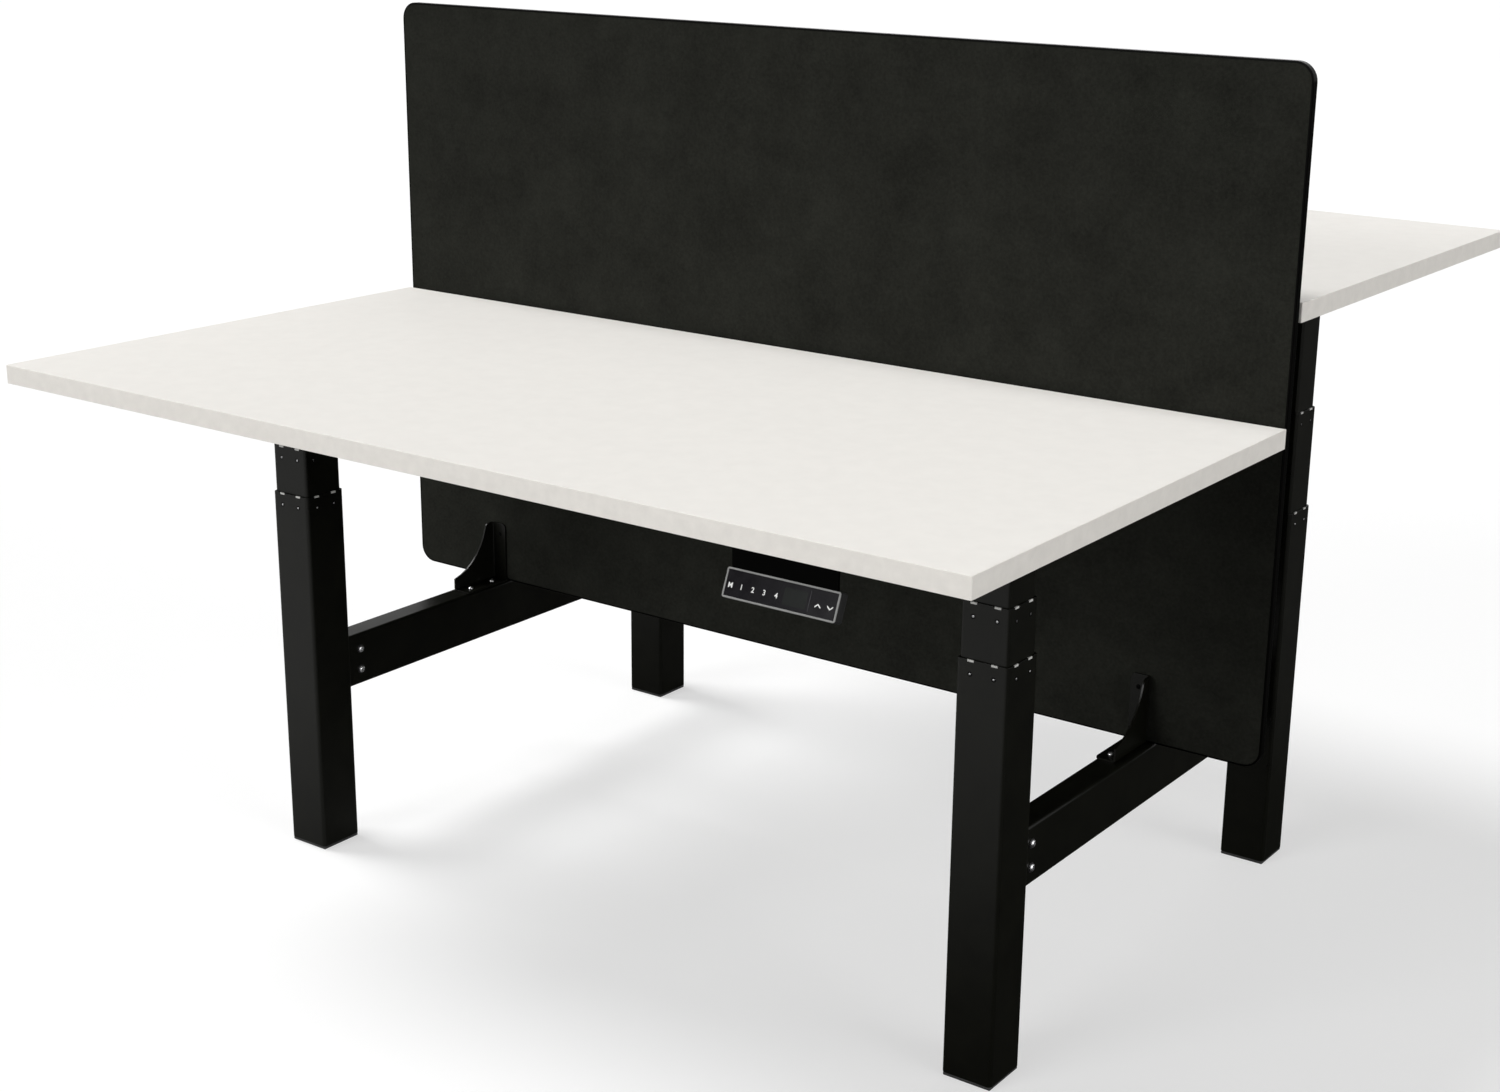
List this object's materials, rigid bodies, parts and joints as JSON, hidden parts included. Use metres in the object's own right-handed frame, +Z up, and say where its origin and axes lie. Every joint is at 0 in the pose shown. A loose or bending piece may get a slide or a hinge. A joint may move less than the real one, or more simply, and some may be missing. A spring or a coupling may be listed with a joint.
{
  "type": "height-adjustable double desk",
  "caption": "Back-to-back sit-stand desk: white worktops on black telescopic columns, joined by side beams, with a tall dark privacy screen between the two users.",
  "frame": {"origin": "on the floor, under the middle of the screen", "axes": "+Z up; +X along the worktops, to the right of the person at the front desk; -Y towards that person, so the lower worktop lies at -Y"},
  "size_m": [1.5, 1.5364, 1.2123],
  "materials": {
    "powder_coat": "satin black powder coat",
    "worktop_laminate": "white laminated board, satin",
    "screen_fabric": "charcoal acoustic panel, matt",
    "edge_trim": "glossy black edge trim",
    "white_nylon": "white glide collar",
    "black_nylon": "black foot pad",
    "steel": "turned steel",
    "motor_housing": "satin black",
    "box_plastic": "fine-textured black",
    "handset_plastic": "satin dark grey",
    "handset_glass": "glossy black touch panel"
  },
  "bodies": {
    "base": {"side_beam_left": "powder_coat", "side_beam_right": "powder_coat", "screen_panel": "screen_fabric", "screen_edge_trim": "edge_trim", "outer_tube_front_left": "powder_coat", "foot_pad_front_left": "black_nylon", "outer_guide_front_left": "white_nylon", "screen_bracket_front_left": "powder_coat", "outer_tube_front_right": "powder_coat", "foot_pad_front_right": "black_nylon", "outer_guide_front_right": "white_nylon", "screen_bracket_front_right": "powder_coat", "outer_tube_rear_left": "powder_coat", "foot_pad_rear_left": "black_nylon", "outer_guide_rear_left": "white_nylon", "screen_bracket_rear_left": "powder_coat", "outer_tube_rear_right": "powder_coat", "foot_pad_rear_right": "black_nylon", "outer_guide_rear_right": "white_nylon", "screen_bracket_rear_right": "powder_coat"},
    "front_top": {"worktop_front": "worktop_laminate", "cross_rail_front_outer": "powder_coat", "cross_rail_front_inner": "powder_coat", "control_box_front": "box_plastic", "handset_housing_front": "handset_plastic", "handset_panel_front": "handset_glass", "inner_tube_front_left": "powder_coat", "motor_gearbox_front_left": "motor_housing", "side_arm_front_left": "powder_coat", "inner_tube_front_right": "powder_coat", "motor_gearbox_front_right": "motor_housing", "side_arm_front_right": "powder_coat"},
    "front_middle": {"middle_tube_front_left": "powder_coat", "middle_tube_front_right": "powder_coat", "middle_guide_front_left": "white_nylon", "middle_guide_front_right": "white_nylon"},
    "drive_screw_front_left": {"drive_screw_front_left": "steel"},
    "hollow_screw_front_left": {"hollow_screw_front_left": "steel"},
    "drive_screw_front_right": {"drive_screw_front_right": "steel"},
    "hollow_screw_front_right": {"hollow_screw_front_right": "steel"},
    "rear_top": {"worktop_rear": "worktop_laminate", "cross_rail_rear_outer": "powder_coat", "cross_rail_rear_inner": "powder_coat", "control_box_rear": "box_plastic", "handset_housing_rear": "handset_plastic", "handset_panel_rear": "handset_glass", "inner_tube_rear_left": "powder_coat", "motor_gearbox_rear_left": "motor_housing", "side_arm_rear_left": "powder_coat", "inner_tube_rear_right": "powder_coat", "motor_gearbox_rear_right": "motor_housing", "side_arm_rear_right": "powder_coat"},
    "rear_middle": {"middle_tube_rear_left": "powder_coat", "middle_tube_rear_right": "powder_coat", "middle_guide_rear_left": "white_nylon", "middle_guide_rear_right": "white_nylon"},
    "drive_screw_rear_left": {"drive_screw_rear_left": "steel"},
    "hollow_screw_rear_left": {"hollow_screw_rear_left": "steel"},
    "drive_screw_rear_right": {"drive_screw_rear_right": "steel"},
    "hollow_screw_rear_right": {"hollow_screw_rear_right": "steel"}
  },
  "joints": [
    {"name": "front_lift", "type": "slide", "parent": "base", "child": "front_top", "axis": [0, 0, 1], "range_m": [-0.1236, 0.5264]},
    {"name": "front_stage", "type": "slide", "parent": "base", "child": "front_middle", "axis": [0, 0, 1], "range_m": [-0.062, 0.2634]},
    {"name": "drive_screw_front_left_turn", "type": "hinge", "parent": "front_top", "child": "drive_screw_front_left", "pos_m": [-0.577, -0.4, 0.4], "axis": [0, 0, 1], "range_deg": [-2791, 11854]},
    {"name": "hollow_screw_front_left_turn", "type": "hinge", "parent": "front_middle", "child": "hollow_screw_front_left", "pos_m": [-0.577, -0.4, 0.4], "axis": [0, 0, 1], "range_deg": [-2791, 11854]},
    {"name": "drive_screw_front_right_turn", "type": "hinge", "parent": "front_top", "child": "drive_screw_front_right", "pos_m": [0.577, -0.4, 0.4], "axis": [0, 0, 1], "range_deg": [-2791, 11854]},
    {"name": "hollow_screw_front_right_turn", "type": "hinge", "parent": "front_middle", "child": "hollow_screw_front_right", "pos_m": [0.577, -0.4, 0.4], "axis": [0, 0, 1], "range_deg": [-2791, 11854]},
    {"name": "rear_lift", "type": "slide", "parent": "base", "child": "rear_top", "axis": [0, 0, 1], "range_m": [-0.2786, 0.3714]},
    {"name": "rear_stage", "type": "slide", "parent": "base", "child": "rear_middle", "axis": [0, 0, 1], "range_m": [-0.1395, 0.1859]},
    {"name": "drive_screw_rear_left_turn", "type": "hinge", "parent": "rear_top", "child": "drive_screw_rear_left", "pos_m": [-0.577, 0.4, 0.4], "axis": [0, 0, 1], "range_deg": [-6279, 8367]},
    {"name": "hollow_screw_rear_left_turn", "type": "hinge", "parent": "rear_middle", "child": "hollow_screw_rear_left", "pos_m": [-0.577, 0.4, 0.4], "axis": [0, 0, 1], "range_deg": [-6279, 8367]},
    {"name": "drive_screw_rear_right_turn", "type": "hinge", "parent": "rear_top", "child": "drive_screw_rear_right", "pos_m": [0.577, 0.4, 0.4], "axis": [0, 0, 1], "range_deg": [-6279, 8367]},
    {"name": "hollow_screw_rear_right_turn", "type": "hinge", "parent": "rear_middle", "child": "hollow_screw_rear_right", "pos_m": [0.577, 0.4, 0.4], "axis": [0, 0, 1], "range_deg": [-6279, 8367]}
  ],
  "couplings": [
    {"joint": "front_stage", "follows": "front_lift", "ratio": 0.5},
    {"joint": "drive_screw_front_left_turn", "follows": "front_lift", "rad_per_m": 392.7},
    {"joint": "hollow_screw_front_left_turn", "follows": "front_lift", "rad_per_m": 392.7},
    {"joint": "drive_screw_front_right_turn", "follows": "front_lift", "rad_per_m": 392.7},
    {"joint": "hollow_screw_front_right_turn", "follows": "front_lift", "rad_per_m": 392.7},
    {"joint": "rear_stage", "follows": "rear_lift", "ratio": 0.5},
    {"joint": "drive_screw_rear_left_turn", "follows": "rear_lift", "rad_per_m": 392.7},
    {"joint": "hollow_screw_rear_left_turn", "follows": "rear_lift", "rad_per_m": 392.7},
    {"joint": "drive_screw_rear_right_turn", "follows": "rear_lift", "rad_per_m": 392.7},
    {"joint": "hollow_screw_rear_right_turn", "follows": "rear_lift", "rad_per_m": 392.7}
  ]
}
